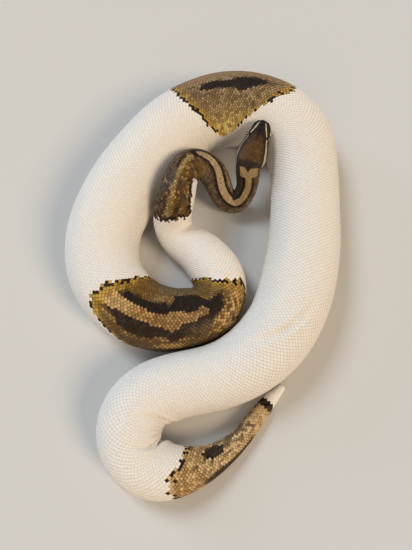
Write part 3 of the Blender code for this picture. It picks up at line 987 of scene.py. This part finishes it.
# A belly scale's section: place along it, height, share of the net's colour, partly painted shade at its
# edges.
SCUTE_SECTION = (
    (-0.52, -0.9, 1.0), (-0.52, 0.08, 0.8), (0.0, 0.45, 0.1), (0.5, 0.75, 0.1), (0.6, 0.6, 0.6),
    (0.6, -0.9, 1.0),
)


def row_gap(distance):
    """Distance between rows: fine on the head and neck, coarse on the tail."""
    slim = (body.along(body.width, distance) / ROW_WIDTH) ** 0.42
    tail = 1 + 0.25 * smooth(distance, 1190, 1240) + 0.38 * smooth(distance, 1240, 1310)
    return ROW_GAP * slim * (0.6 + 0.4 * smooth(distance, 34, 84)) * tail


def cell_phase():
    """How many cells fit along the back up to each row of the surface's table."""
    return running(np.diff(body.distance) / (row_gap(body.distance[1:]) * PERIOD))


def scale_template():
    """One scale in its cell's units: a closed plate of rings, raised towards the tail."""
    turn = 2 * math.pi * np.arange(OUTLINE) / OUTLINE
    along = bulged(np.cos(turn), 2 / ROUND)
    along = along * np.where(along > 0, AFT, FORE)
    across = bulged(np.sin(turn), 2 / ROUND) * HALF
    slope = np.clip((along + FORE) / (FORE + AFT), 0, 1)
    size, foot, gain, net = np.array(SCALE_RINGS).T[..., None]
    x = np.append(size * along, SCALE_TOP[0])
    y = np.append(size * across, 0.0)
    high = np.append(foot + gain * slope, SCALE_TOP[1])
    net = np.append(np.repeat(net, OUTLINE), 0.0)
    faces = [tuple(reversed(range(OUTLINE)))]
    for k in range(OUTLINE):
        n = (k + 1) % OUTLINE
        for low in (OUTLINE, 2 * OUTLINE):
            faces.append((low + k, low - OUTLINE + k, low - OUTLINE + n, low + n))
        faces.append((3 * OUTLINE, 2 * OUTLINE + k, 2 * OUTLINE + n))
    return x, y, high, net, faces


def scale_cells():
    """Middle of every scale: distance, share round, row gap, cell length, and a chance."""
    phase = cell_phase()
    found = []
    for low, high, stretch in SHIFTS:
        cells = np.arange(int(phase[-1] / stretch) + 1)
        rows = np.arange(-MOST_ROWS, MOST_ROWS + 1)
        k, i = pairs(cells, rows)
        d = np.interp((k + 0.5 * (i % 2)) * stretch, phase, body.distance)
        kept = (d > FIRST_SCALE) & (d < body.end - LAST_SCALE)
        d, k, i = d[kept], k[kept], i[kept]
        gap = row_gap(d)
        girth = body.along(body.girth, d)
        r = i * gap / girth
        belly = smooth(d, BELLY_START - 6, BELLY_START + 6)
        limit = 0.5 * (1 - belly) + (BELLY_SHARE - 0.2 * gap / girth) * belly
        kept = np.abs(r) < limit
        d, r, gap, girth, k, i = (values[kept] for values in (d, r, gap, girth, k, i))
        share = r + lean_share(d)
        length = gap * PERIOD * stretch
        here = stretch_at(d, share)
        kept = (here >= low) & (here < high)
        for ahead, aside in REACH:
            beside = stretch_at(d + ahead * length, share + aside * gap / girth)
            kept |= (here < low) & (beside >= low)
        kept &= plated(d, body.look_up(body.rise, d, share)) < 0.5
        chance = hashed(k * 1.7 + stretch * 3.1, i * 2.3, 9)
        found.append(np.column_stack([d, share, gap, length, chance])[kept])
    return np.concatenate(found)


def joined(name, faces, at, place, proud, tint, root, patch):
    """Many like scales as one mesh, with a row of points for each: their distance, share round,
    height over the skin and colour, each scale's place in the OFBake map, and its patch there."""
    points = on_skin(at.ravel(), place.ravel(), proud.ravel())
    corner, sizes = flat(faces)
    corners = np.arange(len(at))[:, None] * at.shape[1] + corner
    bake = (0.02 + 0.96 * root)[:, None] + patch[corner]
    sizes = np.tile(sizes, len(at))
    return make_mesh(name, points, corners.ravel(), sizes, tint.reshape(-1, 3), bake.reshape(-1, 2))


def build_scales(name, start, end, cells):
    """The scales of one length of the body, as one mesh."""
    d, share, gap, length, chance = cells[(cells[:, 0] >= start) & (cells[:, 0] < end)].T
    x, y, high, net, faces = scale_template()
    other = hashed(chance * 91, d, 12)
    at = (d + 0.06 * length * (other - 0.5))[:, None] + length[:, None] * x
    wide = gap * (1 + 0.08 * (chance - 0.5)) / body.along(body.girth, d)
    place = share[:, None] + wide[:, None] * y
    lift = LIFT * gap * (0.9 + 0.2 * other)
    if start < FINE_MARKS:
        colour = coat_colour(at.ravel(), place.ravel(), np.repeat(chance, len(x)))
        colour = colour.reshape(at.shape + (3,))
    else:
        colour = coat_colour(d, share, chance)[:, None]
    colour = colour * (1 + 0.05 * (other[:, None, None] - 0.5))
    painted_highlight = (1 - smooth(colour @ LUMA, 0.30, 0.50)) * (1 - net)  # painted highlight: coloured scales are lighter in the middle
    # Painted shade: the rims of coloured scales take more of the net's colour.
    edge = np.where(net > 0, net * 0.8 + 0.24 * painted_highlight, 0)
    tint = mix(colour * (1 + 0.26 * painted_highlight)[..., None], net_colour_and_shade(colour), edge)
    round_share = share_signed(share - lean_share(d)) + 0.5
    root = np.column_stack([(d - start) / (min(end, body.end) - start), round_share])
    patch = PATCH / 2 * np.column_stack([x / AFT, y])
    return joined(name, faces, at, place, lift[:, None] * high, tint, root, patch)


def build_scutes():
    """The wide scales of the belly, from behind the head to the tail's tip, as one mesh."""
    phase = cell_phase()
    k = np.arange(math.ceil(np.interp(BELLY_START, body.distance, phase)), int(phase[-1] - 1))
    d = np.interp(k, phase, body.distance)
    length = row_gap(d) * PERIOD
    ring = len(SCUTE_SECTION)
    x, high, net = np.tile(np.array(SCUTE_SECTION).T, SCUTE_STATIONS)
    y = np.repeat(np.linspace(-1, 1, SCUTE_STATIONS), ring)
    x = x * np.sqrt(1 - 0.75 * y**6)
    at = d[:, None] + length[:, None] * x
    place = 0.5 + (0.5 - BELLY_SHARE + 0.004) * y + lean_share(d)[:, None]
    faces = list(grid_faces(SCUTE_STATIONS, ring, 0)[0][:, (0, 3, 2, 1)])
    faces += [tuple(reversed(range(ring))), tuple(range(len(x) - ring, len(x)))]
    colour = np.array(WHITE) * (0.96 + 0.08 * hashed(k, 0, 3))[:, None, None]
    tint = mix(colour, net_colour_and_shade(colour), net * 0.6)
    root = np.column_stack([(d - d[0]) / (d[-1] - d[0]), np.full(len(d), 0.5)])
    patch = np.column_stack([PATCH / 2 * x / SCUTE_SECTION[-1][0], 0.46 * y])
    proud = (SCUTE_LIFT * length)[:, None] * high
    return joined("belly_scutes", faces, at, place, proud, tint, root, patch)


# ---- Eyes ----

EYE_RINGS = 40
EYE_COLUMNS = 48
EYE_LOOK = (0.93, 0.22, 0.28)  # where an eye looks: aside, up, ahead
CLEAR_BULGE = 0.05  # how far the clear scale stands out over the pupil, in radii
SLIT = (0.17, 0.62)  # half width and half height of the pupil, in radii


def build_eye(name, hand):
    """An eye under its clear scale: dark iris, upright slit pupil."""
    centre, aside, up, ahead = eye_frame(hand)
    axis = unit(aside * EYE_LOOK[0] + up * EYE_LOOK[1] + ahead * EYE_LOOK[2])
    tall = unit(up - axis * (up @ axis))
    wide = np.cross(axis, tall)
    polar = np.linspace(0, math.pi, EYE_RINGS + 1)[1:-1]
    turn = 2 * math.pi * np.arange(EYE_COLUMNS) / EYE_COLUMNS
    a, b = pairs(polar, turn)
    h = np.append(np.sin(a) * np.cos(b), (0, 0))
    v = np.append(np.sin(a) * np.sin(b), (0, 0))
    out = np.append(np.cos(a), (1, -1))
    ball = wide * h[:, None] + tall * v[:, None] + axis * out[:, None]
    ball = ball * (EYE_RADIUS * (1 + CLEAR_BULGE * smooth(out, 0.5, 1.0)))[:, None]
    iris = mix((0.055, 0.030, 0.014), (0.17, 0.105, 0.05), smooth(v, 0.1, 0.55))
    iris = iris * (1 + 0.3 * noise(h * 14, v * 14, 77))[:, None]
    slit = SLIT[0] * np.sqrt(np.maximum(0, 1 - (v / SLIT[1]) ** 2)) - np.abs(h)
    tint = paint(
        iris,
        ((0.003, 0.003, 0.003), smooth(slit, -0.02, 0.03) * (out > 0)),
        ((0.008, 0.006, 0.005), smooth(np.hypot(h, v), 0.66, 0.76)),
    )
    faces = list(grid_faces(len(polar), EYE_COLUMNS, 0)[0])
    front, back = len(ball) - 2, len(ball) - 1
    last = front - EYE_COLUMNS
    for j in range(EYE_COLUMNS):
        n = (j + 1) % EYE_COLUMNS
        faces += [(front, j, n), (back, last + n, last + j)]
    return make_mesh(name, ball + centre, *flat(faces), tint)


# ---- Materials ----


def set_sockets(node, values):
    for socket, value in values.items():
        node.inputs[socket].default_value = value
    return node


def new_material(name, values):
    """A material, and its shader with some sockets set."""
    made = bpy.data.materials.new(name)
    made.use_nodes = True
    return made, set_sockets(made.node_tree.nodes["Principled BSDF"], values)


def coat_material(name, roughness, gloss, grain, strength):
    """A finish that takes its colour from the mesh's Tint, with fine grain in colour and height."""
    values = {"Specular IOR Level": 0.07, "Coat Weight": gloss, "Coat Roughness": 0.22}
    made, shader = new_material(name, values)
    nodes = made.node_tree.nodes
    tint = nodes.new("ShaderNodeAttribute")
    tint.attribute_name = "Tint"
    place = nodes.new("ShaderNodeTexCoord")
    fine = set_sockets(nodes.new("ShaderNodeTexNoise"), {"Scale": grain, "Detail": 3.0})
    shade = set_sockets(nodes.new("ShaderNodeMapRange"), {"To Min": 0.90, "To Max": 1.08})
    rough = {"To Min": roughness - 0.06, "To Max": roughness + 0.08}
    rough = set_sockets(nodes.new("ShaderNodeMapRange"), rough)
    bump = set_sockets(nodes.new("ShaderNodeBump"), {"Strength": strength, "Distance": 0.0001})
    mixer = nodes.new("ShaderNodeMix")
    mixer.data_type = "RGBA"
    mixer.blend_type = "MULTIPLY"
    mixer.inputs["Factor"].default_value = 1.0
    for start, out, end, into in (
        (place, "Object", fine, "Vector"),
        (fine, "Fac", shade, "Value"),
        (fine, "Fac", rough, "Value"),
        (fine, "Fac", bump, "Height"),
        (tint, "Color", mixer, "A"),
        (shade, "Result", mixer, "B"),
        (mixer, "Result", shader, "Base Color"),
        (rough, "Result", shader, "Roughness"),
        (bump, "Normal", shader, "Normal"),
    ):
        made.node_tree.links.new(start.outputs[out], end.inputs[into])
    return made


def floor_material():
    values = {"Base Color": (0.62, 0.60, 0.57, 1), "Roughness": 0.75, "Specular IOR Level": 0.0}
    return new_material("floor", values)[0]


def dress(piece, look):
    """Give a piece its material, and let it ride on the one body."""
    piece.data.materials.append(look)
    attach(piece, "root")


def build_snake():
    """The skin, the scales of each length, the belly's scales and the eyes."""
    skin_look = coat_material("snake_skin", 0.46, 0.0, 900.0, 0.25)
    scale_look = coat_material("snake_scales", 0.36, 0.05, 700.0, 0.15)
    eye_look = coat_material("snake_eye", 0.12, 1.0, 400.0, 0.0)
    skin = build_skin()
    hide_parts(*FLESH)
    dress(skin, skin_look)
    cells = scale_cells()
    start = -1.0
    for name, end in LENGTHS:
        piece = build_scales(f"scales_{name}", start, end, cells)
        dress(piece, scale_look)
        start = end
    dress(build_scutes(), scale_look)
    for name, hand in (("right", 1), ("left", -1)):
        eye = build_eye(f"eyeball_{name}", hand)
        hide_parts(f"eye_{name}")
        dress(eye, eye_look)


# ---- Stage, light and camera ----

VIEW_FROM = (0.0, -0.1571, 0.4041)  # the camera's place, in metres
VIEW_AT = (0.0, -0.010, 0.0)  # and where it looks
LENS = 28.15  # focal length in millimetres
SENSOR = 36.0  # width of its film in millimetres
FLOOR_SIZE = 60.0
FLOOR_DROP = 0.0002  # the floor lies this far below zero, clear of the belly's scales
LIGHTS = (
    # direction it comes from, width in degrees, strength, colour
    ((-0.75, 0.75, 1.15), 22, 1.68, (0.80, 0.90, 1.0)),
    ((0.80, -0.55, 0.75), 23, 1.92, (1.0, 0.81, 0.57)),
    ((-1.0, 0.65, 0.35), 22, 0.75, (0.50, 0.71, 1.0)),
    ((-0.5, -0.9, 0.7), 27, 0.32, (1.0, 0.74, 0.46)),
)
SKY = (0.95, 0.97, 1.0, 1)
SKY_STRENGTH = 0.27


def aim(thing, place, target):
    """Put a camera or light at a place, looking at a target, with its top upwards."""
    bpy.context.scene.collection.objects.link(thing)
    thing.location = place
    way = Vector(target) - Vector(place)
    thing.rotation_euler = way.to_track_quat("-Z", "Y").to_euler()


def build_stage():
    scene = bpy.context.scene
    bpy.ops.mesh.primitive_plane_add(size=FLOOR_SIZE, location=(0, 0, -FLOOR_DROP))
    floor = bpy.context.object
    floor.name = "floor"
    floor.data.materials.append(floor_material())
    for i, (place, width, strength, colour) in enumerate(LIGHTS):
        data = bpy.data.lights.new(f"light_{i}", "SUN")
        data.angle, data.energy, data.color = math.radians(width), strength, colour
        aim(bpy.data.objects.new(f"light_{i}", data), place, (0, 0, 0))
    scene.world = bpy.data.worlds.new("studio")
    scene.world.use_nodes = True
    set_sockets(scene.world.node_tree.nodes["Background"], {"Color": SKY, "Strength": SKY_STRENGTH})
    scene.view_settings.view_transform = "Standard"
    data = bpy.data.cameras.new("camera")
    data.lens = LENS
    data.sensor_width = SENSOR
    data.clip_start = 0.01
    scene.camera = bpy.data.objects.new("camera", data)
    aim(scene.camera, VIEW_FROM, VIEW_AT)


build_snake()
build_stage()
